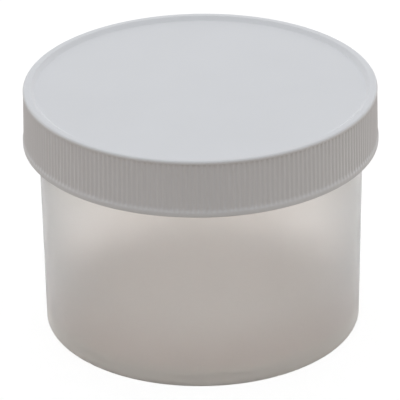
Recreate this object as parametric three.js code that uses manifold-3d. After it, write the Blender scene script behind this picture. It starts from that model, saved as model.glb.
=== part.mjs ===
// A wide-mouth slide staining jar with a ribbed screw cap, in millimetres, +Z up.
// The origin is the centre of the base: the jar stands on z = 0 and the screw's axis is Z.
// Three pieces: the jar, the cap, and the sealing liner that lies inside the cap.

import * as THREE from 'three';
import { mergeVertices } from 'three/addons/utils/BufferGeometryUtils.js';
import Module from 'manifold-3d';

const wasm = await Module();
wasm.setup();

// ---- Driving dimensions ----

// Jar body
const JAR_HEIGHT = 62.6;            // from the ground to the sealing rim
const BASE_RADIUS = 41.7;           // outside, at the ground
const WALL_DRAFT = 0.52;            // degrees that each wall leans out
const WALL = 1.5;
const FLOOR = 1.6;
const HEEL_ROUND = 0.6;             // outside corner round the base
const FOOT_WIDTH = 3.8;             // of the standing ring
const FOOT_HEIGHT = 0.7;            // how far the floor is held off the ground
const FLOOR_FILLET = 2.0;           // inside corner between the wall and the floor
const RIM_ROUND = 0.45;             // both edges of the sealing rim

// Screw thread: right-handed, one start, five turns to the inch
const PITCH = 5.08;
const RIDGE_HEIGHT = 1.35;
const RIDGE_ROOT_WIDTH = 3.2;
const RIDGE_CREST_WIDTH = 1.4;
const JAR_THREAD_TURNS = 1.25;
const JAR_THREAD_DROP = 0.9;        // from the rim to the top of the ridge
const RUNOUT_ANGLE = 20;            // degrees over which each end of a ridge dies away
const THREAD_CLEARANCE = 0.45;      // between each ridge's crest and the wall that it faces
const FLANK_CLEARANCE = 0.3;        // where the cap's ridge pulls up against the jar's

// Cap
const CAP_HEIGHT = 15.2;
const PLATE = 1.2;
const SKIRT_WALL = 1.65;            // behind the ribs
const SKIRT_DRAFT = 1.4;            // degrees that the skirt widens towards its foot
const RIB_COUNT = 216;
const RIB_HEIGHT = 0.35;
const RIB_CREST_SHARE = 0.34;       // of the rib pitch
const RIB_FOOT_SHARE = 0.68;
const COLLAR = 0.3;                 // plain band from the rounded edge down to the ribs
const COLLAR_PROUD = 0.06;          // how far it stands out from the ribs
const BAND_HEIGHT = 1.2;            // plain band round the skirt's foot
const BAND_PROUD = 0.19;            // how far it stands out from the straight ribs
const BAND_LEDGE = 0.04;            // how far it stands out from the ribs' flared feet
const GROOVE_RUNOUT = 1.2;          // height over which the grooves fade out and the ribs flare
const CAP_EDGE_ROUND = 0.6;         // outside edge of the raised rim
const CREST_WIDTH = 1.3;            // flat top of the raised rim
const CREST_SLOPE_WIDTH = 1.15;     // sloping face from the crest in to the plate
const CREST_HEIGHT = 0.9;           // of the raised rim above the plate
const CAP_THREAD_LEAD_IN = 0.15;    // from the skirt's foot to the rooted back of the cap's ridge
const SKIRT_CHAMFER = 0.4;          // inside edge of the skirt's foot
const PLATE_FILLET = 0.5;           // inside corner between the skirt and the plate

// Liner
const LINER = 1.0;
const LINER_CLEARANCE = 0.5;        // between the liner's edge and the skirt
const SEAT_GAP = 0.25;              // between the liner and each face that presses on it

// How finely round forms are divided
const ROUND_SEGMENTS = 72;
const CAP_SEGMENTS = 108;           // outside the cap
const EDGE_STEPS = 3;               // along each rounded edge

// ---- Sizes worked out from them ----

const TURN = 2 * Math.PI;
const AXIS = new THREE.Vector2(0, 0);
const radians = THREE.MathUtils.degToRad;
const wallLean = Math.tan(radians(WALL_DRAFT));
const skirtLean = Math.tan(radians(SKIRT_DRAFT));

const jarOuterRadius = (z) => BASE_RADIUS + z * wallLean;
const neckRadius = jarOuterRadius(JAR_HEIGHT);
const floorTop = FOOT_HEIGHT + FLOOR;

const linerBottom = JAR_HEIGHT + SEAT_GAP;
const plateBottom = linerBottom + LINER + SEAT_GAP;
const plateTop = plateBottom + PLATE;
const capTop = plateTop + CREST_HEIGHT;
const capBottom = capTop - CAP_HEIGHT;

const skirtInnerRadius = neckRadius + RIDGE_HEIGHT + THREAD_CLEARANCE;
const bandTop = capBottom + BAND_HEIGHT;
const ribTop = capTop - CAP_EDGE_ROUND - COLLAR;
const ribCrestRadius = (z) => skirtInnerRadius + SKIRT_WALL + RIB_HEIGHT - (z - bandTop) * skirtLean;
const collarRadius = (z) => ribCrestRadius(z) + COLLAR_PROUD;
const bandRadius = ribCrestRadius(bandTop) + BAND_PROUD;

// The ridge's middle is given at each end. At one height on a straight flank, the two ridges
// together leave this much of half a pitch free, and the cap's ridge is lifted by all of it
// but the flank clearance, as when the cap is tight.
const flankLean = (RIDGE_ROOT_WIDTH - RIDGE_CREST_WIDTH) / 2 / RIDGE_HEIGHT;
const rooted = RIDGE_HEIGHT / 2;                    // how deep a ridge's back lies in its wall
const ridgeBackWidth = RIDGE_ROOT_WIDTH + 2 * flankLean * rooted;
const meshedHalfWidths = RIDGE_ROOT_WIDTH - flankLean * (RIDGE_HEIGHT + THREAD_CLEARANCE);
const flankFree = PITCH / 2 - meshedHalfWidths;
const jarRidgeTop = JAR_HEIGHT - JAR_THREAD_DROP - RIDGE_ROOT_WIDTH / 2;
const jarRidgeBottom = jarRidgeTop - JAR_THREAD_TURNS * PITCH;
const capRidgeBottom = capBottom + CAP_THREAD_LEAD_IN + ridgeBackWidth / 2;
const capRidgeTop = JAR_HEIGHT - RIDGE_ROOT_WIDTH / 2;
const capRidgeAtZero = jarRidgeBottom - PITCH / 2 + flankFree - FLANK_CLEARANCE;

// ---- Shapes ----

// Points of an arc in a [radius, z] profile, its angles in degrees from the radius direction.
function arc(radius, z, size, from, to, steps = EDGE_STEPS) {
  return Array.from({ length: steps + 1 }, (_, i) => {
    const angle = radians(from + (to - from) * i / steps);
    return [radius + size * Math.cos(angle), z + size * Math.sin(angle)];
  });
}

// A closed geometry as a solid: its vertices merged, and the flat triangles at a pole dropped.
function solidOf(geometry) {
  const bare = new THREE.BufferGeometry().setAttribute('position', geometry.getAttribute('position'));
  const merged = mergeVertices(geometry.index ? bare.setIndex(geometry.index) : bare, 1e-4);
  const corners = [];
  for (let i = 0; i < merged.index.count; i += 3) {
    const [a, b, c] = [0, 1, 2].map((k) => merged.index.getX(i + k));
    if (a !== b && b !== c && c !== a) corners.push(a, b, c);
  }
  return new wasm.Manifold(new wasm.Mesh({
    numProp: 3,
    vertProperties: merged.attributes.position.array,
    triVerts: new Uint32Array(corners),
  }));
}

// A profile of [radius, z] points turned round Z. It starts and ends on the axis.
function turned(profile, segments) {
  const points = profile.map(([radius, z]) => new THREE.Vector2(radius, z));
  return solidOf(new THREE.LatheGeometry(points, segments).rotateX(Math.PI / 2));
}

// One thread ridge round Z. A straight bar of the ridge's section is drawn out and wound on its
// wall: section x is height off the wall, section y runs along the axis, and bar length is turns.
// outward is 1 on the outside of a wall and -1 on the inside of one.
function threadRidge({ wallRadius, outward, bottom, top, startAngle }) {
  const section = new THREE.Shape([
    new THREE.Vector2(-rooted, -ridgeBackWidth / 2),
    new THREE.Vector2(RIDGE_HEIGHT, -RIDGE_CREST_WIDTH / 2),
    new THREE.Vector2(RIDGE_HEIGHT, RIDGE_CREST_WIDTH / 2),
    new THREE.Vector2(-rooted, ridgeBackWidth / 2),
  ]);
  const turns = (top - bottom) / PITCH;
  const steps = Math.ceil(turns * ROUND_SEGMENTS);
  const bar = new THREE.ExtrudeGeometry(section, { depth: turns, steps, bevelEnabled: false });
  const place = bar.getAttribute('position');
  const runout = RUNOUT_ANGLE / 360;
  const buried = 0.7 * rooted;                      // how deep the crest lies at the bar's ends
  for (let i = 0; i < place.count; i++) {
    const along = place.getZ(i);
    const rise = Math.sin(Math.min(along, turns - along, runout) / runout * Math.PI / 2);
    const crest = THREE.MathUtils.lerp(-buried, RIDGE_HEIGHT, rise);
    const height = THREE.MathUtils.mapLinear(place.getX(i), -rooted, RIDGE_HEIGHT, -rooted, crest);
    const radius = wallRadius + outward * height;
    const angle = startAngle + along * TURN;
    const z = bottom + along * PITCH - outward * place.getY(i);
    place.setXYZ(i, radius * Math.cos(angle), radius * Math.sin(angle), z);
  }
  return solidOf(bar);
}

// The jar in one moulding: a raised floor in a standing ring, a leaning wall, and the neck thread.
function jarSolid() {
  const innerRadius = (z) => jarOuterRadius(z) - WALL;
  const footInner = BASE_RADIUS - FOOT_WIDTH;
  const rimTop = JAR_HEIGHT - RIM_ROUND;
  const body = turned([
    [0, FOOT_HEIGHT],
    [footInner - FOOT_HEIGHT, FOOT_HEIGHT],
    [footInner, 0],
    ...arc(BASE_RADIUS - HEEL_ROUND, HEEL_ROUND, HEEL_ROUND, -90, 0),
    ...arc(jarOuterRadius(rimTop) - RIM_ROUND, rimTop, RIM_ROUND, 0, 90),
    ...arc(innerRadius(rimTop) + RIM_ROUND, rimTop, RIM_ROUND, 90, 180),
    ...arc(innerRadius(floorTop) - FLOOR_FILLET, floorTop + FLOOR_FILLET, FLOOR_FILLET, 0, -90),
    [0, floorTop],
  ], ROUND_SEGMENTS);
  return body.add(threadRidge({
    wallRadius: neckRadius, outward: 1, bottom: jarRidgeBottom, top: jarRidgeTop, startAngle: 0,
  }));
}

// The ribbed length of the skirt, solid through: one outline with every rib, drawn up through
// three levels. At the lowest it is round, with each groove's floor as wide as the groove, so the
// grooves fade out towards the band. Both its ends lie inside the plain bands above and below it.
function ribbedCore() {
  const pitchAngle = TURN / RIB_COUNT;
  const ribSection = [
    [-RIB_FOOT_SHARE / 2, RIB_HEIGHT],
    [-RIB_CREST_SHARE / 2, 0],
    [RIB_CREST_SHARE / 2, 0],
    [RIB_FOOT_SHARE / 2, RIB_HEIGHT],
  ];
  const onCircle = (radius, ribs) => new THREE.Vector2(radius, 0).rotateAround(AXIS, ribs * pitchAngle);
  const outline = [];
  for (let rib = 0; rib < RIB_COUNT; rib++) {
    for (const [share, depth] of ribSection) outline.push(onCircle(bandRadius - depth, rib + share));
  }
  const levels = [bandTop - BAND_HEIGHT / 4, bandTop + GROOVE_RUNOUT, ribTop + COLLAR / 4];
  const steps = levels.length - 1;
  const core = new THREE.ExtrudeGeometry(new THREE.Shape(outline), {
    depth: steps, steps, bevelEnabled: false,
  });
  const place = core.getAttribute('position');
  for (let i = 0; i < place.count; i++) {
    const level = Math.round(place.getZ(i));
    const z = levels[level];
    let spot = new THREE.Vector2(place.getX(i), place.getY(i));
    if (level === 0) {
      const ribs = spot.angle() / pitchAngle;
      const rib = Math.round(ribs);
      const crestEdge = rib + Math.sign(ribs - rib) * RIB_CREST_SHARE / 2;
      spot = onCircle(bandRadius - BAND_LEDGE, crestEdge);
    } else {
      spot.multiplyScalar(ribCrestRadius(z) / bandRadius);
    }
    place.setXYZ(i, spot.x, spot.y, z);
  }
  return solidOf(core);
}

// The hollow of the cap: the room for the jar's neck and the liner.
function capHollow() {
  const below = capBottom - 1;
  return turned([
    [0, below],
    [skirtInnerRadius + SKIRT_CHAMFER + 1, below],
    [skirtInnerRadius, capBottom + SKIRT_CHAMFER],
    ...arc(skirtInnerRadius - PLATE_FILLET, plateBottom - PLATE_FILLET, PLATE_FILLET, 0, 90),
    [0, plateBottom],
  ], ROUND_SEGMENTS);
}

// The sunk top of the cap, inside the raised rim's crest.
function capRecess(crestInner) {
  return turned([
    [0, plateTop],
    [crestInner - CREST_SLOPE_WIDTH, plateTop],
    [crestInner + CREST_SLOPE_WIDTH, capTop + CREST_HEIGHT],
    [0, capTop + CREST_HEIGHT],
  ], ROUND_SEGMENTS);
}

// The cap in one moulding: a plate sunk inside a raised rim, a ribbed skirt between two plain
// bands, and the thread inside it.
function capSolid() {
  const edgeBottom = capTop - CAP_EDGE_ROUND;
  const edgeCentre = collarRadius(edgeBottom) - CAP_EDGE_ROUND;
  const head = turned([
    [0, ribTop],
    [collarRadius(ribTop), ribTop],
    ...arc(edgeCentre, edgeBottom, CAP_EDGE_ROUND, 0, 90),
    [0, capTop],
  ], CAP_SEGMENTS);
  const band = turned([
    [0, capBottom],
    [bandRadius, capBottom],
    [bandRadius, bandTop],
    [0, bandTop],
  ], CAP_SEGMENTS);
  return head
    .add(ribbedCore())
    .add(band)
    .subtract(capRecess(edgeCentre - CREST_WIDTH))
    .subtract(capHollow())
    .add(threadRidge({
      wallRadius: skirtInnerRadius,
      outward: -1,
      bottom: capRidgeBottom,
      top: capRidgeTop,
      startAngle: (capRidgeBottom - capRidgeAtZero) / PITCH * TURN,
    }));
}

// The sealing liner: a disc of foam between the plate and the jar's rim.
function linerSolid() {
  const radius = skirtInnerRadius - LINER_CLEARANCE;
  const disc = new THREE.CylinderGeometry(radius, radius, LINER, ROUND_SEGMENTS).rotateX(Math.PI / 2);
  return solidOf(disc.translate(0, 0, linerBottom + LINER / 2));
}

// A solid as a named mesh.
function piece(name, solid, look) {
  const { vertProperties, triVerts } = solid.getMesh();
  const geometry = new THREE.BufferGeometry();
  geometry.setAttribute('position', new THREE.BufferAttribute(new Float32Array(vertProperties), 3));
  geometry.setIndex(new THREE.BufferAttribute(new Uint32Array(triVerts), 1));
  geometry.computeVertexNormals();
  const mesh = new THREE.Mesh(geometry, new THREE.MeshStandardMaterial(look));
  mesh.name = name;
  return mesh;
}

const stainingJar = new THREE.Group();
stainingJar.name = 'slide_staining_jar';
stainingJar.add(
  piece('jar', jarSolid(), {
    color: 0xd8d6d0, roughness: 0.42, metalness: 0, transparent: true, opacity: 0.8,
  }),
  piece('cap', capSolid(), { color: 0xdcdce0, roughness: 0.45, metalness: 0 }),
  piece('liner', linerSolid(), { color: 0xf0efec, roughness: 0.8, metalness: 0 }),
);

export default stainingJar;
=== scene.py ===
"""Looks of a slide staining jar: a natural polypropylene jar with a white ribbed screw cap.

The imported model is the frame: it says where each piece stands and how far it reaches. Three
mouldings are modelled on it, the jar, the cap and the cap's foam liner, and each stands for the
CAD node of the same piece. Sizes are written in millimetres and turned to metres where a mesh,
a lamp or a pattern is made.
"""

import logging
import math
from dataclasses import dataclass, field
from enum import Enum
from typing import Any, Callable, Sequence

import bmesh
import bpy
from mathutils import Matrix, Vector


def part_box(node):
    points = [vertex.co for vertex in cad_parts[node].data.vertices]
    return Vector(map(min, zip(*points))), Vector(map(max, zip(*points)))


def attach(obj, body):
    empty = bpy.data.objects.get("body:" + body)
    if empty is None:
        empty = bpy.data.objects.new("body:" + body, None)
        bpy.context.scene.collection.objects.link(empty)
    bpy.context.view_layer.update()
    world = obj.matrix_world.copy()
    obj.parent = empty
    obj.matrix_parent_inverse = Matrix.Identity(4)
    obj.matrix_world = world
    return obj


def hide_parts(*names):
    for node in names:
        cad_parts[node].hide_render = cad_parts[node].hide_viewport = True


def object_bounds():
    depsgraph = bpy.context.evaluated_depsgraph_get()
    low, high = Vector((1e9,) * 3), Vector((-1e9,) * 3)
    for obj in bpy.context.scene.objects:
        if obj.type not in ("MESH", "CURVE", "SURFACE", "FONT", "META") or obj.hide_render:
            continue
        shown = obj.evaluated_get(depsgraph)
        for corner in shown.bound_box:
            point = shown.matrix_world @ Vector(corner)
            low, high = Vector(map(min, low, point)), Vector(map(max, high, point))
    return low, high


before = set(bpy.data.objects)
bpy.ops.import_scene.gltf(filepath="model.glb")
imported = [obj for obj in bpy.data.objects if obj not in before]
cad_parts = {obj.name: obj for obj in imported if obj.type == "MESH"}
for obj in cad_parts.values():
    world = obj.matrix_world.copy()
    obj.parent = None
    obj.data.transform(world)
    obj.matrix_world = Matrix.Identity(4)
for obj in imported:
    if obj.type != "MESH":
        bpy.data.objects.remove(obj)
CAD_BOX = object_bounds()

LOG = logging.getLogger("staining_jar")
MM = 0.001
TURN = 2 * math.pi
NEAR = 1e-6                            # metres within which two places count as one
NOISE_LOW, NOISE_HIGH = 0.3, 0.7       # between which most values of a noise texture lie
MIX_SHARE, MIX_FROM, MIX_TO = 0, 6, 7  # a colour mix's inputs by number, as several share a name
MIX_RESULT = 2                         # and its output

Point = tuple[float, float]


# ------------------------------------------------------------------ colours and shader nodes


def srgb(code: str) -> tuple[float, float, float, float]:
    """Turns an sRGB colour to the linear one that shaders and lamps read.

    Args:
        code: the colour as a hex code, such as "#d8d6d0".

    Returns:
        Linear red, green and blue, and an alpha of 1.
    """
    parts = [int(code[at:at + 2], 16) / 255 for at in (1, 3, 5)]
    red, green, blue = (c / 12.92 if c <= 0.04045 else ((c + 0.055) / 1.055) ** 2.4 for c in parts)
    return red, green, blue, 1.0


def add_node(tree: bpy.types.NodeTree, kind: str, inputs: dict[Any, Any] | None = None,
             **settings: Any) -> bpy.types.Node:
    """Adds a shader node with its settings, and sets or links its inputs.

    Args:
        tree: the node tree that it goes in.
        kind: Blender's type name for the node.
        inputs: what each input takes, by name or number: another node's output, or a value.
        settings: the node's own settings by name.

    Returns:
        The new node.
    """
    node = tree.nodes.new(kind)
    for name, value in settings.items():
        setattr(node, name, value)
    for name, value in (inputs or {}).items():
        if isinstance(value, bpy.types.NodeSocket):
            tree.links.new(value, node.inputs[name])
        else:
            node.inputs[name].default_value = value
    return node


def new_material(name: str) -> bpy.types.Material:
    """Makes a material with an empty node tree.

    Args:
        name: the new material's name.

    Returns:
        The material.
    """
    material = bpy.data.materials.new(name)
    material.use_nodes = True
    material.node_tree.nodes.clear()
    return material


# ------------------------------------------------------------------ finishes


@dataclass(frozen=True)
class NaturalPolypropylene:
    """Polypropylene without pigment, injection moulded in a polished mould.

    It gives the eye a milky, faintly warm wall: light from behind comes through it blurred, so
    the floor shows through as a soft shade, and the skin has a low sheen with a slight ripple.
    The colour is painted darker towards the ground, under the thread and on the jar's floor, as painted
    shade, and the foot lets little through.
    """

    name: str = "natural_polypropylene_moulded"
    wall_colour: str = "#fffdfb"
    ground_shade_colour: str = "#f1e9e5"       # painted shade that the wall darkens to towards the ground
    ground_shade_reach: float = 22.0           # mm above the ground, from which it does so
    thread_shade_colour: str = "#f6f3f0"       # painted shade that the wall darkens to under the thread, where the cap holds light back
    neck_low: float = 38.0             # mm above the ground, between which it does so
    neck_high: float = 51.0
    floor_colour: str = "#f0e8e2"      # painted shade on the jar's floor, darker than the wall, which shows through it
    floor_reach: float = 38.5          # mm from the axis, where the wall's tint takes over
    floor_blend: float = 1.0           # mm over which it does so
    cloud_size: float = 16.0           # mm, the drift of the melt as it filled the mould
    cloud_share: float = 0.12
    ripple_size: float = 2.2           # mm, the moulded skin's ripple
    ripple_depth: float = 0.012        # mm
    roughness: float = 0.292           # from 0.28 up, so that the denoiser keeps the wall smooth
    roughness_drift: float = 0.012
    ior: float = 1.49
    see_through: float = 0.94
    foot_colour: str = "#fcf9f6"       # wall, floor and standing ring meet in one thick, milky mass
    foot_see_through: float = 0.3
    foot_low: float = 2.0              # mm above the ground, between which the foot clears to wall
    foot_high: float = 8.0
    scatter_depth: tuple[float, float, float] = (1.0, 0.985, 0.97)     # of red, green and blue
    scatter_size: float = 2.6          # mm, how far light spreads inside, times its colour's depth

    def material(self) -> bpy.types.Material:
        """Makes the material.

        Returns:
            The material, with its patterns on Object coordinates.
        """
        made = new_material(self.name)
        tree = made.node_tree
        place = add_node(tree, "ShaderNodeTexCoord")
        cloud = add_node(tree, "ShaderNodeTexNoise", {
            "Vector": place.outputs["Object"], "Scale": 1 / (self.cloud_size * MM), "Detail": 3.0,
        })
        level = add_node(tree, "ShaderNodeSeparateXYZ", {0: place.outputs["Object"]})
        # painted shade: the wall's colour darkens towards the ground
        ground_shade = add_node(tree, "ShaderNodeMapRange", {
            "Value": level.outputs["Z"], "From Max": self.ground_shade_reach * MM, "To Min": 1.0, "To Max": 0.0,
        })
        foot = add_node(tree, "ShaderNodeMapRange", {
            "Value": level.outputs["Z"], "To Min": 1.0, "To Max": 0.0,
            "From Min": self.foot_low * MM, "From Max": self.foot_high * MM,
        }, interpolation_type="SMOOTHSTEP")
        clear = add_node(tree, "ShaderNodeMath", {
            0: foot.outputs["Result"], 1: self.foot_see_through - self.see_through, 2: self.see_through,
        }, operation="MULTIPLY_ADD")
        # the mix factor: painted shade towards the ground, with the melt's random clouds laid on it
        milky = add_node(tree, "ShaderNodeMath", {
            0: cloud.outputs["Fac"], 1: self.cloud_share, 2: ground_shade.outputs["Result"],
        }, operation="MULTIPLY_ADD")
        wall = add_node(tree, "ShaderNodeMix", {
            MIX_SHARE: milky.outputs[0],
            MIX_FROM: srgb(self.wall_colour), MIX_TO: srgb(self.ground_shade_colour),
        }, data_type="RGBA")
        lower = add_node(tree, "ShaderNodeMix", {
            MIX_SHARE: foot.outputs["Result"],
            MIX_FROM: wall.outputs[MIX_RESULT], MIX_TO: srgb(self.foot_colour),
        }, data_type="RGBA")
        # painted shade: darker under the thread, where the cap holds light back
        neck = add_node(tree, "ShaderNodeMapRange", {
            "Value": level.outputs["Z"],
            "From Min": self.neck_low * MM, "From Max": self.neck_high * MM,
        }, interpolation_type="SMOOTHSTEP")
        whole = add_node(tree, "ShaderNodeMix", {
            MIX_SHARE: neck.outputs["Result"],
            MIX_FROM: lower.outputs[MIX_RESULT], MIX_TO: srgb(self.thread_shade_colour),
        }, data_type="RGBA")
        flat = add_node(tree, "ShaderNodeVectorMath", {
            0: place.outputs["Object"], 1: (1.0, 1.0, 0.0),
        }, operation="MULTIPLY")
        radius = add_node(tree, "ShaderNodeVectorMath", {0: flat.outputs["Vector"]}, operation="LENGTH")
        # painted shade: the jar's floor is darker than the wall
        beyond = add_node(tree, "ShaderNodeMapRange", {
            "Value": radius.outputs["Value"],
            "From Min": (self.floor_reach - self.floor_blend) * MM, "From Max": self.floor_reach * MM,
        })
        tint = add_node(tree, "ShaderNodeMix", {
            MIX_SHARE: beyond.outputs["Result"],
            MIX_FROM: srgb(self.floor_colour), MIX_TO: whole.outputs[MIX_RESULT],
        }, data_type="RGBA")
        gloss = add_node(tree, "ShaderNodeMapRange", {
            "Value": cloud.outputs["Fac"], "From Min": NOISE_LOW, "From Max": NOISE_HIGH,
            "To Min": self.roughness - self.roughness_drift,
            "To Max": self.roughness + self.roughness_drift,
        })
        ripple = add_node(tree, "ShaderNodeTexNoise", {
            "Vector": place.outputs["Object"], "Scale": 1 / (self.ripple_size * MM), "Detail": 2.0,
        })
        skin = add_node(tree, "ShaderNodeBump", {
            "Height": ripple.outputs["Fac"], "Distance": self.ripple_depth * MM,
        })
        body = add_node(tree, "ShaderNodeBsdfPrincipled", {
            "Base Color": tint.outputs[MIX_RESULT],
            "Roughness": gloss.outputs["Result"],
            "IOR": self.ior,
            "Normal": skin.outputs["Normal"],
            "Transmission Weight": clear.outputs[0],
            "Subsurface Weight": 1.0,
            "Subsurface Radius": self.scatter_depth,
            "Subsurface Scale": self.scatter_size * MM,
        })
        add_node(tree, "ShaderNodeOutputMaterial", {"Surface": body.outputs["BSDF"]})
        return made


@dataclass(frozen=True)
class WhitePolypropylene:
    """Polypropylene with white pigment, injection moulded in a spark-finished mould.

    It gives the eye an even, opaque, slightly cool white with a satin skin: highlights spread
    wide, and the edges of the ribs catch only a soft line of light.
    """

    name: str = "white_polypropylene_satin"
    colour: str = "#dfe0e4"
    drift_colour: str = "#dadbdf"
    drift_size: float = 22.0           # mm, the pigment's slow drift
    grain_size: float = 0.7            # mm, the spark finish, drawn about twice as coarse as it is
    grain_depth: float = 0.006         # mm
    roughness: float = 0.56
    roughness_drift: float = 0.05
    ior: float = 1.49

    def material(self) -> bpy.types.Material:
        """Makes the material.

        Returns:
            The material, with its patterns on Object coordinates.
        """
        made = new_material(self.name)
        tree = made.node_tree
        place = add_node(tree, "ShaderNodeTexCoord")
        drift = add_node(tree, "ShaderNodeTexNoise", {
            "Vector": place.outputs["Object"], "Scale": 1 / (self.drift_size * MM), "Detail": 2.0,
        })
        tint = add_node(tree, "ShaderNodeMix", {
            MIX_SHARE: drift.outputs["Fac"],
            MIX_FROM: srgb(self.colour), MIX_TO: srgb(self.drift_colour),
        }, data_type="RGBA")
        grain = add_node(tree, "ShaderNodeTexNoise", {
            "Vector": place.outputs["Object"], "Scale": 1 / (self.grain_size * MM), "Detail": 3.0,
        })
        gloss = add_node(tree, "ShaderNodeMapRange", {
            "Value": grain.outputs["Fac"], "From Min": NOISE_LOW, "From Max": NOISE_HIGH,
            "To Min": self.roughness - self.roughness_drift,
            "To Max": self.roughness + self.roughness_drift,
        })
        skin = add_node(tree, "ShaderNodeBump", {
            "Height": grain.outputs["Fac"], "Distance": self.grain_depth * MM,
        })
        body = add_node(tree, "ShaderNodeBsdfPrincipled", {
            "Base Color": tint.outputs[MIX_RESULT],
            "Roughness": gloss.outputs["Result"],
            "IOR": self.ior,
            "Normal": skin.outputs["Normal"],
        })
        add_node(tree, "ShaderNodeOutputMaterial", {"Surface": body.outputs["BSDF"]})
        return made


@dataclass(frozen=True)
class PolyethyleneFoam:
    """Closed-cell polyethylene foam sheet, die cut.

    It gives the eye a matt, soft white face that is finely pitted by its cut cells, each pit painted
    darker as shade.
    """

    name: str = "polyethylene_foam_sheet"
    colour: str = "#efeeea"
    # painted shade in the cells' pits
    pit_shade_colour: str = "#d9d7d1"
    cell_size: float = 0.6             # mm, the cells, drawn about twice as coarse as they are
    cell_depth: float = 0.05           # mm
    pit_reach: float = 0.1             # in cells from a cell's middle, how far its pit reaches
    wall_reach: float = 0.6            # and where the wall to the next cell is reached
    roughness: float = 0.78
    ior: float = 1.5

    def material(self) -> bpy.types.Material:
        """Makes the material.

        Returns:
            The material, with its patterns on Object coordinates.
        """
        made = new_material(self.name)
        tree = made.node_tree
        place = add_node(tree, "ShaderNodeTexCoord")
        cells = add_node(tree, "ShaderNodeTexVoronoi", {
            "Vector": place.outputs["Object"], "Scale": 1 / (self.cell_size * MM),
        })
        wall = add_node(tree, "ShaderNodeMapRange", {
            "Value": cells.outputs["Distance"],
            "From Min": self.pit_reach, "From Max": self.wall_reach,
        })
        # painted shade: darker towards the middle of each cell's pit
        tint = add_node(tree, "ShaderNodeMix", {
            MIX_SHARE: wall.outputs["Result"],
            MIX_FROM: srgb(self.pit_shade_colour), MIX_TO: srgb(self.colour),
        }, data_type="RGBA")
        skin = add_node(tree, "ShaderNodeBump", {
            "Height": wall.outputs["Result"], "Distance": self.cell_depth * MM,
        })
        body = add_node(tree, "ShaderNodeBsdfPrincipled", {
            "Base Color": tint.outputs[MIX_RESULT],
            "Roughness": self.roughness,
            "IOR": self.ior,
            "Normal": skin.outputs["Normal"],
        })
        add_node(tree, "ShaderNodeOutputMaterial", {"Surface": body.outputs["BSDF"]})
        return made


# ------------------------------------------------------------------ half sections


@dataclass(frozen=True)
class Corner:
    """A corner of a turned form's half section, in millimetres, and the radius it is rounded to."""

    radius: float
    height: float
    round: float = 0.0
    steps: int = 6                     # along the arc


def rounded(corners: Sequence[Corner], hold: float = 0.08) -> list[Point]:
    """Draws a half section through its corners, each rounded to an arc.

    Args:
        corners: the corners in order; the first and the last stay sharp.
        hold: how far beyond each arc a further point keeps the flat beside it flat. A flat
            shorter than three times that gets none.

    Returns:
        The section's points as (radius, height).
    """
    points: list[Point] = [(corners[0].radius, corners[0].height)]
    for before, corner, after in zip(corners, corners[1:], corners[2:]):
        here = Vector((corner.radius, corner.height))
        back = Vector((before.radius, before.height)) - here
        ahead = Vector((after.radius, after.height)) - here
        half = back.angle(ahead) / 2
        if not corner.round:
            points.append((here.x, here.y))
            continue
        reach = corner.round / math.tan(half)
        inward = (back.normalized() + ahead.normalized()).normalized()
        centre = here + inward * corner.round / math.sin(half)
        start = here + back.normalized() * reach
        end = here + ahead.normalized() * reach
        first = math.atan2(start.y - centre.y, start.x - centre.x)
        last = math.atan2(end.y - centre.y, end.x - centre.x)
        sweep = (last - first + math.pi) % TURN - math.pi
        if back.length > reach + 3 * hold:
            points.append(tuple(start + back.normalized() * hold))
        for step in range(corner.steps + 1):
            angle = first + sweep * step / corner.steps
            points.append((centre.x + corner.round * math.cos(angle),
                           centre.y + corner.round * math.sin(angle)))
        if ahead.length > reach + 3 * hold:
            points.append(tuple(end + ahead.normalized() * hold))
    points.append((corners[-1].radius, corners[-1].height))
    return points


# ------------------------------------------------------------------ modelling by operators


def deselect_all() -> None:
    """Leaves edit mode and deselects every object."""
    if bpy.context.object and bpy.context.object.mode != "OBJECT":
        bpy.ops.object.mode_set(mode="OBJECT")
    bpy.ops.object.select_all(action="DESELECT")


def work_on(piece: bpy.types.Object) -> None:
    """Makes a piece the only one selected and the active one.

    Args:
        piece: the piece to work on.
    """
    deselect_all()
    piece.select_set(True)
    bpy.context.view_layer.objects.active = piece


def new_piece(name: str) -> bpy.types.Object:
    """Names the primitive that was just added, puts its place in its mesh and enters edit mode.

    Args:
        name: the new piece's name.

    Returns:
        The piece, in edit mode.
    """
    bpy.ops.object.transform_apply(location=True, rotation=True, scale=True)
    piece = bpy.context.object
    piece.name = piece.data.name = name
    bpy.ops.object.mode_set(mode="EDIT")
    bpy.ops.mesh.select_mode(type="VERT")
    return piece


def select_points(piece: bpy.types.Object, wanted: Callable[[bmesh.types.BMVert], bool]) -> None:
    """Selects a piece's vertices in edit mode.

    Args:
        piece: the piece in edit mode.
        wanted: says of a vertex whether it is selected.
    """
    mesh = bmesh.from_edit_mesh(piece.data)
    for vertex in mesh.verts:
        vertex.select = wanted(vertex)
    mesh.select_flush(True)
    mesh.select_flush(False)
    bmesh.update_edit_mesh(piece.data)


def apply_modifier(piece: bpy.types.Object, kind: str, **settings: Any) -> None:
    """Puts a modifier on a piece and applies it.

    Args:
        piece: the piece to change.
        kind: Blender's type name for the modifier.
        settings: the modifier's settings by name.
    """
    work_on(piece)
    modifier = piece.modifiers.new(kind.title(), kind)
    for name, value in settings.items():
        setattr(modifier, name, value)
    bpy.ops.object.modifier_apply(modifier=modifier.name)


def fuse(piece: bpy.types.Object, other: bpy.types.Object) -> None:
    """Joins another closed form to a piece, and leaves one closed skin round both."""
    apply_modifier(piece, "BOOLEAN", operation="UNION", solver="EXACT", object=other)
    bpy.data.objects.remove(other)


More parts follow.
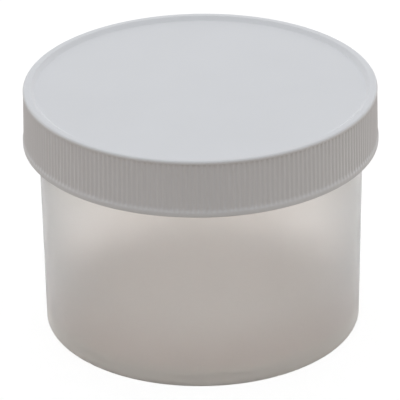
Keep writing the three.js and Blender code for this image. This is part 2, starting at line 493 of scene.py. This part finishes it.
def shade(piece: bpy.types.Object, sharp_from: float) -> None:
    """Turns a piece's faces outwards and shades it smooth, but for edges sharper than an angle.

    Args:
        piece: the finished piece.
        sharp_from: the angle in degrees from which an edge stays sharp.
    """
    work_on(piece)
    bpy.ops.object.mode_set(mode="EDIT")
    bpy.ops.mesh.select_all(action="SELECT")
    bpy.ops.mesh.normals_make_consistent(inside=False)
    bpy.ops.object.mode_set(mode="OBJECT")
    bpy.ops.object.shade_smooth_by_angle(angle=math.radians(sharp_from))


def draw_up(name: str, section: Sequence[Point], segments: int) -> bpy.types.Object:
    """Models a closed turned form: a disc, extruded ring by ring along a half section.

    Args:
        name: the new piece's name.
        section: the half section as (radius, height) in millimetres; its two ends are closed
            by flat discs on the axis.
        segments: how many sides the form has.

    Returns:
        The piece, in object mode.
    """
    deselect_all()
    radius, height = section[0]
    bpy.ops.mesh.primitive_circle_add(
        vertices=segments, radius=radius * MM, fill_type="TRIFAN", location=(0, 0, height * MM),
    )
    piece = new_piece(name)
    select_points(piece, lambda vertex: vertex.co.xy.length > radius * MM / 2)
    for next_radius, next_height in section[1:]:
        bpy.ops.mesh.extrude_region_move(
            TRANSFORM_OT_translate={"value": (0, 0, (next_height - height) * MM)},
        )
        share = next_radius / radius
        bpy.ops.transform.resize(value=(share, share, 1), center_override=(0, 0, 0))
        radius, height = next_radius, next_height
    bpy.ops.mesh.extrude_region_move(TRANSFORM_OT_translate={"value": (0, 0, 0)})
    bpy.ops.mesh.merge(type="CENTER")
    bpy.ops.object.mode_set(mode="OBJECT")
    return piece


# ------------------------------------------------------------------ screw thread


class WallSide(Enum):
    """Which side of its wall a thread ridge stands on."""

    OUTSIDE = 1
    INSIDE = -1


@dataclass(frozen=True)
class ScrewThread:
    """The coarse right-handed thread that jar and cap share, one start, in millimetres."""

    pitch: float = 5.08                # five turns to the inch
    height: float = 1.35
    root_width: float = 3.2
    crest_width: float = 1.4
    crest_round: float = 0.3
    crest_steps: int = 3               # along each rounded edge of the crest
    jar_turns: float = 1.25
    jar_drop: float = 0.9              # from the jar's rim to the top of its ridge
    cap_lead_in: float = 0.15          # from the skirt's foot to the back of its ridge
    runout: float = 20.0               # degrees over which each end dies away
    buried: float = 0.7                # of the root's depth, how deep the crest ends in the wall
    clearance: float = 0.45            # between a crest and the wall that it faces
    flank_clearance: float = 0.3       # where the cap's ridge pulls up against the jar's
    steps_per_turn: int = 144

    @property
    def lean(self) -> float:
        """How much narrower each side of the ridge gets per millimetre of height."""
        return (self.root_width - self.crest_width) / 2 / self.height

    @property
    def rooted(self) -> float:
        """How deep the back of a ridge lies in its wall."""
        return self.height / 2

    @property
    def back_width(self) -> float:
        """The ridge's width at its back."""
        return self.root_width + 2 * self.lean * self.rooted

    def jar_span(self, rim: float) -> Point:
        """The heights between which the middle of the jar's ridge climbs, below a rim."""
        top = rim - self.jar_drop - self.root_width / 2
        return top - self.jar_turns * self.pitch, top

    def cap_span(self, foot: float, rim: float) -> Point:
        """The heights between which the middle of the cap's ridge climbs, from the skirt's foot."""
        return foot + self.cap_lead_in + self.back_width / 2, rim - self.root_width / 2

    def cap_start(self, foot: float, rim: float) -> float:
        """Works out where the cap's ridge starts, so that it pulls up under the jar's.

        Args:
            foot: the height of the skirt's foot.
            rim: the height of the jar's rim.

        Returns:
            The angle in radians from the start of the jar's ridge.
        """
        meshed = self.root_width - self.lean * (self.height + self.clearance)
        free = self.pitch / 2 - meshed
        at_zero = self.jar_span(rim)[0] - self.pitch / 2 + free - self.flank_clearance
        return (self.cap_span(foot, rim)[0] - at_zero) / self.pitch * TURN

    def ridge(self, wall: float, side: WallSide, span: Point, start: float) -> bpy.types.Object:
        """Models one ridge: its section, wound up round the axis, dying away at both ends.

        Args:
            wall: the radius of the wall that it stands on.
            side: the side of the wall.
            span: the heights of its middle at the lower and the upper end.
            start: the angle of the lower end in radians.

        Returns:
            The closed ridge, rooted in its wall.
        """
        back = wall - side.value * self.rooted
        crest = wall + side.value * self.height
        piece = self._section(back, crest)
        size = len(piece.data.vertices)
        turns = (span[1] - span[0]) / self.pitch
        steps = math.ceil(turns * self.steps_per_turn)
        apply_modifier(piece, "SCREW", axis="Z", angle=turns * TURN, steps=steps, render_steps=steps,
                       screw_offset=(span[1] - span[0]) * MM, use_merge_vertices=False)
        bpy.ops.object.mode_set(mode="EDIT")
        for end in (0, steps):
            select_points(piece, lambda vertex: vertex.index // size == end)
            bpy.ops.mesh.edge_face_add()
        for step in range(steps + 1):
            along = turns * step / steps
            rise = min(along, turns - along) * 360 / self.runout
            if rise >= 1:
                continue
            crest_height = -self.buried * self.rooted
            crest_height += (self.height - crest_height) * math.sin(rise * math.pi / 2)
            share = (crest_height + self.rooted) / (self.height + self.rooted)
            angle = along * TURN
            select_points(piece, lambda vertex: vertex.index // size == step)
            bpy.ops.transform.resize(
                value=(share, share, 1),
                center_override=(back * MM * math.cos(angle), back * MM * math.sin(angle), 0),
            )
        bpy.ops.mesh.select_all(action="SELECT")
        bpy.ops.mesh.normals_make_consistent(inside=False)
        bpy.ops.object.mode_set(mode="OBJECT")
        piece.location.z = span[0] * MM
        piece.rotation_euler.z = start
        bpy.ops.object.transform_apply(location=True, rotation=True, scale=True)
        return piece

    def _section(self, back: float, crest: float) -> bpy.types.Object:
        """Draws the ridge's section as a loop of edges, its crest corners rounded.

        Args:
            back: the radius of the ridge's back.
            crest: the radius of its crest.

        Returns:
            The loop, in object mode.
        """
        deselect_all()
        bpy.ops.mesh.primitive_plane_add(size=2, rotation=(math.pi / 2, 0, 0))
        piece = new_piece("thread_ridge")
        for sign, radius, width in ((1, crest, self.crest_width), (-1, back, self.back_width)):
            select_points(piece, lambda vertex: abs(vertex.co.x - sign) < NEAR)
            bpy.ops.transform.resize(value=(1, 1, width / 2 * MM), center_override=(0, 0, 0))
            bpy.ops.transform.translate(value=(radius * MM - sign, 0, 0))
        select_points(piece, lambda vertex: abs(vertex.co.x - crest * MM) < NEAR)
        bpy.ops.mesh.bevel(
            offset=self.crest_round * MM, segments=self.crest_steps, affect="VERTICES")
        bpy.ops.mesh.select_all(action="SELECT")
        bpy.ops.mesh.delete(type="ONLY_FACE")
        bpy.ops.object.mode_set(mode="OBJECT")
        return piece


# ------------------------------------------------------------------ the object's pieces


@dataclass(frozen=True)
class NodeBox:
    """The reach of a round CAD node at rest, in millimetres."""

    bottom: float
    top: float
    radius: float

    @classmethod
    def of(cls, node: str) -> "NodeBox":
        """Reads a round node's reach from the frame.

        Args:
            node: the CAD node's name.

        Returns:
            Its lowest and highest level and its outer radius.
        """
        low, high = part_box(node)
        return cls(low.z / MM, high.z / MM, max(high.x, high.y) / MM)


@dataclass
class Moulding:
    """What every piece of the jar has: its CAD node, its body, its slot and its reach."""

    node: str
    body: str
    slot: str
    finish: NaturalPolypropylene | WhitePolypropylene | PolyethyleneFoam
    reach: NodeBox = field(init=False)

    def __post_init__(self) -> None:
        """Reads the piece's reach from the frame."""
        self.reach = NodeBox.of(self.node)

    def model(self) -> bpy.types.Object:
        """Models the piece's mesh."""
        raise NotImplementedError

    def build(self) -> bpy.types.Object:
        """Models the piece, gives it its finish, and lets it stand for its CAD node.

        Returns:
            The finished piece.
        """
        piece = self.model()
        piece.data.materials.clear()
        piece.data.materials.append(self.finish.material())
        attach(piece, self.body)
        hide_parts(self.node)
        LOG.info("%s: %d faces, %s, rides on %s and stands for %s",
                 piece.name, len(piece.data.polygons), self.finish.name, self.body, self.node)
        return piece


@dataclass
class JarMoulding(Moulding):
    """The jar in one moulding: raised floor, standing ring, leaning wall, neck thread, rim."""

    thread: ScrewThread = field(default_factory=ScrewThread)
    wall: float = 1.5
    draft: float = 0.52                # degrees that the wall leans out
    floor: float = 1.6
    foot_height: float = 0.7
    foot_width: float = 3.8
    foot_round: float = 0.15
    heel_round: float = 0.6
    floor_fillet: float = 2.0
    rim_round: float = 0.45
    foot_fillet: float = 0.3           # between the standing ring's inner slope and the underside
    gate_radius: float = 1.3           # the nub that the mould's gate leaves under the floor
    gate_height: float = 0.3
    gate_round: float = 0.1
    gate_hub: float = 1.04             # radius of the disc at the middle of the nub
    segments: int = 288
    sharp_from: float = 40.0           # degrees, the angle from which an edge stays sharp

    @property
    def neck_radius(self) -> float:
        """The wall's outside radius at the rim, behind the thread."""
        return self.reach.radius - self.thread.height

    def outside(self, height: float) -> float:
        """The wall's outside radius at a height."""
        return self.neck_radius - (self.reach.top - height) * math.tan(math.radians(self.draft))

    def section(self) -> list[Point]:
        """Draws the half section, from the gate's nub out, up, over the rim and in to the floor.

        Returns:
            Its points as (radius, height).
        """
        ground, rim = self.reach.bottom, self.reach.top
        underside = ground + self.foot_height
        floor_top = underside + self.floor
        ring_inner = self.outside(ground) - self.foot_width
        return rounded([
            Corner(self.gate_hub, underside - self.gate_height),
            Corner(self.gate_radius, underside - self.gate_height, self.gate_round, steps=3),
            Corner(self.gate_radius, underside, self.gate_round, steps=3),
            Corner(ring_inner - self.foot_height, underside, self.foot_fillet),
            Corner(ring_inner, ground, self.foot_round, steps=4),
            Corner(self.outside(ground), ground, self.heel_round, steps=8),
            Corner(self.outside(rim), rim, self.rim_round, steps=8),
            Corner(self.outside(rim) - self.wall, rim, self.rim_round, steps=8),
            Corner(self.outside(floor_top) - self.wall, floor_top, self.floor_fillet, steps=10),
            Corner(self.gate_radius, floor_top),
        ])

    def model(self) -> bpy.types.Object:
        """Models the jar and fuses its thread ridge to the neck.

        Returns:
            The closed moulding.
        """
        piece = draw_up("jar_moulding", self.section(), self.segments)
        fuse(piece, self.thread.ridge(
            self.neck_radius, WallSide.OUTSIDE, self.thread.jar_span(self.reach.top), 0.0))
        shade(piece, self.sharp_from)
        return piece


@dataclass
class CapMoulding(Moulding):
    """The cap in one moulding: sunk plate, raised rim, ribbed skirt, plain bands and thread."""

    jar: JarMoulding = field(kw_only=True)
    plate: float = 1.2
    crest_height: float = 0.9          # of the raised rim above the plate
    crest_width: float = 1.3
    slope_width: float = 1.15          # from the crest in to the plate
    slope_round: float = 0.6
    crest_round: float = 0.3
    edge_round: float = 0.6
    collar: float = 0.3                # plain band above the ribs
    collar_proud: float = 0.06         # over the crests of the ribs
    rib_count: int = 216
    rib_height: float = 0.25
    rib_falls: tuple[float, ...] = (0.0, 0.47, 1.0, 1.0, 0.47, 0.0)    # shares, rib to groove to rib
    band: float = 1.2                  # plain band below the ribs
    band_proud: float = 0.19           # over the crests of the ribs
    band_round: float = 0.2
    runout: float = 1.2                # height over which the grooves fade out towards the band
    runout_steps: int = 4
    skirt_draft: float = 1.4           # degrees that the skirt widens towards its foot
    foot_chamfer: float = 0.4
    plate_fillet: float = 0.5
    hub: float = 6.0                   # radius of the disc at the middle of each flat face
    sharp_from: float = 50.0           # degrees, the angle from which an edge stays sharp

    @property
    def segments(self) -> int:
        """How many sides the cap has: so many to each rib."""
        return self.rib_count * len(self.rib_falls)

    @property
    def skirt_inside(self) -> float:
        """The radius inside the skirt, which clears the crest of the jar's ridge."""
        return self.jar.reach.radius + self.jar.thread.clearance

    @property
    def band_top(self) -> float:
        """The height at which the lower band ends and the ribs start."""
        return self.reach.bottom + self.band

    @property
    def rib_top(self) -> float:
        """The height at which the ribs end and the collar starts."""
        return self.reach.top - self.edge_round - self.collar

    def rib_crest(self, height: float) -> float:
        """Works out the radius over the ribs, which flare to the band below their straight part.

        Args:
            height: the height on the skirt.

        Returns:
            The radius there.
        """
        lean = math.tan(math.radians(self.skirt_draft))
        straight = self.reach.radius - self.band_proud - (height - self.band_top) * lean
        return straight + self.band_proud * self._faded(height) ** 2

    def _faded(self, height: float) -> float:
        """How far down the grooves' runout a height lies, from 0 at its top to 1 at the band."""
        return min(1.0, max(0.0, 1 - (height - self.band_top) / self.runout))

    def rib_rings(self) -> list[Point]:
        """Lists the rings of the ribbed length from the top down.

        Returns:
            The height of each ring and the depth of the grooves there.
        """
        straight = [self.rib_top, self.band_top + self.runout]
        fading = [self.band_top + self.runout * (1 - step / self.runout_steps)
                  for step in range(1, self.runout_steps + 1)]
        return [(height, self.rib_height * (1 - self._faded(height) ** 2))
                for height in straight + fading]

    def section(self) -> list[Point]:
        """Draws the half section, from the plate out, down the skirt and up inside it.

        Returns:
            Its points as (radius, height).
        """
        top, foot = self.reach.top, self.reach.bottom
        plate_top = top - self.crest_height
        plate_bottom = plate_top - self.plate
        edge = self.rib_crest(top - self.edge_round) + self.collar_proud
        crest_inner = edge - self.edge_round - self.crest_width
        inside = self.skirt_inside
        return rounded([
            Corner(self.hub, plate_top),
            Corner(crest_inner - self.slope_width, plate_top, self.slope_round, steps=4),
            Corner(crest_inner, top, self.crest_round, steps=4),
            Corner(edge, top, self.edge_round, steps=10),
            Corner(self.rib_crest(self.rib_top) + self.collar_proud, self.rib_top),
            *[Corner(self.rib_crest(height), height) for height, _ in self.rib_rings()],
            Corner(self.reach.radius, foot, self.band_round, steps=4),
            Corner(inside + self.foot_chamfer, foot),
            Corner(inside, foot + self.foot_chamfer),
            Corner(inside, plate_bottom, self.plate_fillet, steps=4),
            Corner(self.hub, plate_bottom),
        ])

    def cut_ribs(self, piece: bpy.types.Object) -> None:
        """Sinks the grooves between the ribs, ring by ring along the ribbed length.

        Args:
            piece: the turned cap, in object mode.
        """
        work_on(piece)
        bpy.ops.object.mode_set(mode="EDIT")
        bpy.ops.mesh.select_mode(type="VERT")
        for height, depth in self.rib_rings():
            crest = self.rib_crest(height)
            for fall in sorted(set(self.rib_falls) - {0.0}):
                select_points(piece, lambda vertex: self._falls(vertex, crest, height, fall))
                share = 1 - depth * fall / crest
                bpy.ops.transform.resize(value=(share, share, 1), center_override=(0, 0, 0))
        bpy.ops.object.mode_set(mode="OBJECT")

    def _falls(self, vertex: bmesh.types.BMVert, crest: float, height: float, fall: float) -> bool:
        """Says whether a vertex lies on a rib ring where the rib has fallen by a share.

        Args:
            vertex: the vertex.
            crest: the radius over the ribs on that ring.
            height: the ring's height.
            fall: the share of the groove's depth.

        Returns:
            Whether it does.
        """
        place = vertex.co
        if abs(place.z - height * MM) > NEAR or abs(place.xy.length - crest * MM) > NEAR:
            return False
        turn = round(math.atan2(place.y, place.x) / TURN * self.segments)
        return self.rib_falls[turn % len(self.rib_falls)] == fall

    def model(self) -> bpy.types.Object:
        """Models the cap, cuts its ribs and fuses its thread ridge to the skirt.

        Returns:
            The closed moulding.
        """
        piece = draw_up("cap_moulding", self.section(), self.segments)
        self.cut_ribs(piece)
        foot, rim, thread = self.reach.bottom, self.jar.reach.top, self.jar.thread
        fuse(piece, thread.ridge(
            self.skirt_inside, WallSide.INSIDE, thread.cap_span(foot, rim),
            thread.cap_start(foot, rim)))
        shade(piece, self.sharp_from)
        return piece


@dataclass
class SealingLiner(Moulding):
    """The foam disc that lies in the cap and seals on the jar's rim, with the rim's print in it."""

    jar: JarMoulding = field(kw_only=True)
    edge_round: float = 0.2
    print_depth: float = 0.05
    print_slope: float = 0.1           # width of the sloping edge on each side of the print
    print_round: float = 0.05
    hold: float = 0.04                 # how far beyond each arc the flats are held
    hub: float = 6.0                   # radius of the disc at the middle of each flat face
    segments: int = 288
    sharp_from: float = 40.0           # degrees, the angle from which an edge stays sharp

    def section(self) -> list[Point]:
        """Draws the half section, from the lower face out, up and in over the upper face.

        Returns:
            Its points as (radius, height).
        """
        low, high, radius = self.reach.bottom, self.reach.top, self.reach.radius
        rim_outer = self.jar.outside(self.jar.reach.top)
        rim_inner = rim_outer - self.jar.wall
        pressed = low + self.print_depth
        return rounded([
            Corner(self.hub, low),
            Corner(rim_inner - self.print_slope, low, self.print_round, steps=2),
            Corner(rim_inner, pressed, self.print_round, steps=2),
            Corner(rim_outer, pressed, self.print_round, steps=2),
            Corner(rim_outer + self.print_slope, low, self.print_round, steps=2),
            Corner(radius, low, self.edge_round, steps=4),
            Corner(radius, high, self.edge_round, steps=4),
            Corner(self.hub, high),
        ], self.hold)

    def model(self) -> bpy.types.Object:
        """Models the disc.

        Returns:
            The closed disc.
        """
        piece = draw_up("liner_disc", self.section(), self.segments)
        shade(piece, self.sharp_from)
        return piece


# ------------------------------------------------------------------ studio


@dataclass(frozen=True)
class Softbox:
    """A rectangular lamp with a soft, even face, in millimetres and watts."""

    name: str
    place: tuple[float, float, float]
    width: float
    height: float
    power: float
    colour: str
    mirrored: bool = True              # whether gloss shows the lamp's face

    def light(self, aim: Vector) -> None:
        """Hangs the lamp and turns its face to a point.

        Args:
            aim: the point, in metres.
        """
        lamp = bpy.data.lights.new(self.name, "AREA")
        lamp.shape, lamp.size, lamp.size_y = "RECTANGLE", self.width * MM, self.height * MM
        lamp.energy, lamp.color = self.power, srgb(self.colour)[:3]
        holder = bpy.data.objects.new(self.name, lamp)
        bpy.context.scene.collection.objects.link(holder)
        holder.visible_glossy = self.mirrored
        holder.location = Vector(self.place) * MM
        holder.rotation_euler = (aim - holder.location).to_track_quat("-Z", "Y").to_euler()


@dataclass(frozen=True)
class StudioCamera:
    """A long lens a little above the jar, looking down on it, in millimetres and degrees."""

    elevation: float = 26.9
    roll: float = -0.764
    distance: float = 825.8
    lens: float = 282.5
    sensor: float = 36.0
    aim_offset: tuple[float, float, float] = (-0.408, -0.167, -0.48)   # from the object's middle
    clip_start: float = 10.0
    clip_end: float = 20000.0

    def set_up(self, middle: Vector) -> None:
        """Places the camera and makes it the scene's.

        Args:
            middle: the middle of the object, in metres.
        """
        tilt, roll = math.radians(self.elevation), math.radians(self.roll)
        back = Vector((0, -math.cos(tilt), math.sin(tilt)))
        level, upright = Vector((1, 0, 0)), Vector((0, math.sin(tilt), math.cos(tilt)))
        right = math.cos(roll) * level + math.sin(roll) * upright
        up = math.cos(roll) * upright - math.sin(roll) * level
        data = bpy.data.cameras.new("studio_camera")
        data.lens, data.sensor_width = self.lens, self.sensor
        data.clip_start, data.clip_end = self.clip_start * MM, self.clip_end * MM
        camera = bpy.data.objects.new("studio_camera", data)
        bpy.context.scene.collection.objects.link(camera)
        aim = middle + Vector(self.aim_offset) * MM
        camera.matrix_world = (Matrix.Translation(aim + back * self.distance * MM)
                               @ Matrix((right, up, back)).transposed().to_4x4())
        bpy.context.scene.camera = camera


@dataclass(frozen=True)
class Studio:
    """A pale floor under a white sweep, lit softly from above, behind and the sides.

    The floor's white is held back under the jar as a painted shadow in place of the jar's own, and for
    gloss and clear walls a little way round it too.
    """

    floor_size: float = 6000.0
    floor_drop: float = 0.05           # keeps the floor clear of the jar's standing ring
    floor_colour: str = "#bbaea1"      # what the floor sends back on to the jar
    white: str = "#ffffff"             # what the floor and the sweep show where they are seen
    floor_glow: float = 0.87           # how much of it the floor shows of itself
    shadow_share: float = 0.2          # and the share of the lamps' light that it sends back to the eye
    under_jar: float = 0.4             # what is left of that white under the jar, in the painted shadow
    shade_inner: float = 30.0          # mm from the axis, from which the white comes back
    shade_outer: float = 38.5          # mm from the axis, where the camera sees all of it
    contact_reach: float = 50.0        # mm from the axis, to which gloss and clear walls see the painted shadow reach
    ambient_colour: str = "#fff4e7"
    ambient: float = 0.28
    overhead: Softbox = Softbox("overhead_softbox", (0, -250, 1300), 2200, 2200, 13.7, "#edf7ff")
    left: Softbox = Softbox("left_softbox", (-1000, 150, 320), 500, 700, 1.2, "#fffaf4")
    right: Softbox = Softbox("right_softbox", (1000, 150, 320), 500, 700, 1.4, "#fffaf4")
    back: Softbox = Softbox(
        "backdrop_softbox", (0, 1000, 300), 2000, 800, 8.0, "#fafcff", mirrored=False)

    def _seen_white(self, tree: bpy.types.NodeTree) -> bpy.types.NodeSocket:
        """Makes the factor that is 1 for what the camera, gloss or a clear wall sees.

        Args:
            tree: the node tree that it goes in.

        Returns:
            The factor's output.
        """
        path = add_node(tree, "ShaderNodeLightPath")
        seen = add_node(tree, "ShaderNodeMath", {
            0: path.outputs["Is Camera Ray"], 1: path.outputs["Is Glossy Ray"],
        }, operation="MAXIMUM")
        through = add_node(tree, "ShaderNodeMath", {
            0: seen.outputs[0], 1: path.outputs["Is Transmission Ray"],
        }, operation="MAXIMUM")
        return through.outputs[0]

    def sweep(self) -> None:
        """Makes the world: white where it is seen, a soft even light elsewhere."""
        world = bpy.data.worlds.new("white_sweep")
        world.use_nodes = True
        tree = world.node_tree
        tree.nodes.clear()
        ambient = add_node(tree, "ShaderNodeBackground", {
            "Color": srgb(self.ambient_colour), "Strength": self.ambient,
        })
        white = add_node(tree, "ShaderNodeBackground", {"Color": srgb(self.white), "Strength": 1.0})
        mixed = add_node(tree, "ShaderNodeMixShader", {
            0: self._seen_white(tree), 1: ambient.outputs[0], 2: white.outputs[0],
        })
        add_node(tree, "ShaderNodeOutputWorld", {"Surface": mixed.outputs[0]})
        bpy.context.scene.world = world

    def floor(self) -> None:
        """Lays the floor: white where it is seen, but for the jar's shadow, cast by the lamps on its
        lit share and painted into its glow.
        """
        deselect_all()
        bpy.ops.mesh.primitive_plane_add(
            size=self.floor_size * MM, location=(0, 0, CAD_BOX[0].z - self.floor_drop * MM))
        ground = new_piece("studio_floor")
        bpy.ops.object.mode_set(mode="OBJECT")
        paint = new_material("studio_floor_matt_white")
        tree = paint.node_tree
        bounce = add_node(tree, "ShaderNodeBsdfDiffuse", {"Color": srgb(self.floor_colour)})
        lit = add_node(tree, "ShaderNodeBsdfDiffuse", {
            "Color": (self.shadow_share, self.shadow_share, self.shadow_share, 1),
        })
        place = add_node(tree, "ShaderNodeTexCoord")
        reach = add_node(tree, "ShaderNodeVectorMath", {0: place.outputs["Object"]}, operation="LENGTH")
        path = add_node(tree, "ShaderNodeLightPath")
        # painted shadow: the glow is held back under the jar, and further out for gloss and clear walls
        white_from = add_node(tree, "ShaderNodeMath", {
            0: path.outputs["Is Camera Ray"],
            1: (self.shade_outer - self.contact_reach) * MM, 2: self.contact_reach * MM,
        }, operation="MULTIPLY_ADD")
        clear = add_node(tree, "ShaderNodeMapRange", {
            "Value": reach.outputs["Value"],
            "From Min": self.shade_inner * MM, "From Max": white_from.outputs[0],
            "To Min": self.under_jar, "To Max": self.floor_glow,
        }, interpolation_type="SMOOTHSTEP")
        glow = add_node(tree, "ShaderNodeEmission", {
            "Color": srgb(self.white), "Strength": clear.outputs["Result"],
        })
        white = add_node(tree, "ShaderNodeAddShader", {0: lit.outputs[0], 1: glow.outputs[0]})
        mixed = add_node(tree, "ShaderNodeMixShader", {
            0: self._seen_white(tree), 1: bounce.outputs[0], 2: white.outputs[0],
        })
        add_node(tree, "ShaderNodeOutputMaterial", {"Surface": mixed.outputs[0]})
        ground.data.materials.append(paint)

    def set_up(self) -> None:
        """Sets the view, the camera, the sweep, the floor and the lamps."""
        bpy.context.scene.view_settings.view_transform = "Standard"
        middle = (CAD_BOX[0] + CAD_BOX[1]) / 2
        StudioCamera().set_up(middle)
        self.sweep()
        self.floor()
        for softbox in (self.overhead, self.left, self.right, self.back):
            softbox.light(middle)


# ------------------------------------------------------------------ the whole


def main() -> None:
    """Sets up the studio and builds the jar, its cap and the cap's liner."""
    logging.basicConfig(level=logging.INFO, format="%(name)s: %(message)s")
    Studio().set_up()
    jar = JarMoulding("jar", "jar", "natural_polypropylene", NaturalPolypropylene())
    jar.build()
    CapMoulding("cap", "cap", "white_polypropylene", WhitePolypropylene(), jar=jar).build()
    SealingLiner("liner", "liner", "liner_foam", PolyethyleneFoam(), jar=jar).build()


if __name__ == "__main__":
    main()
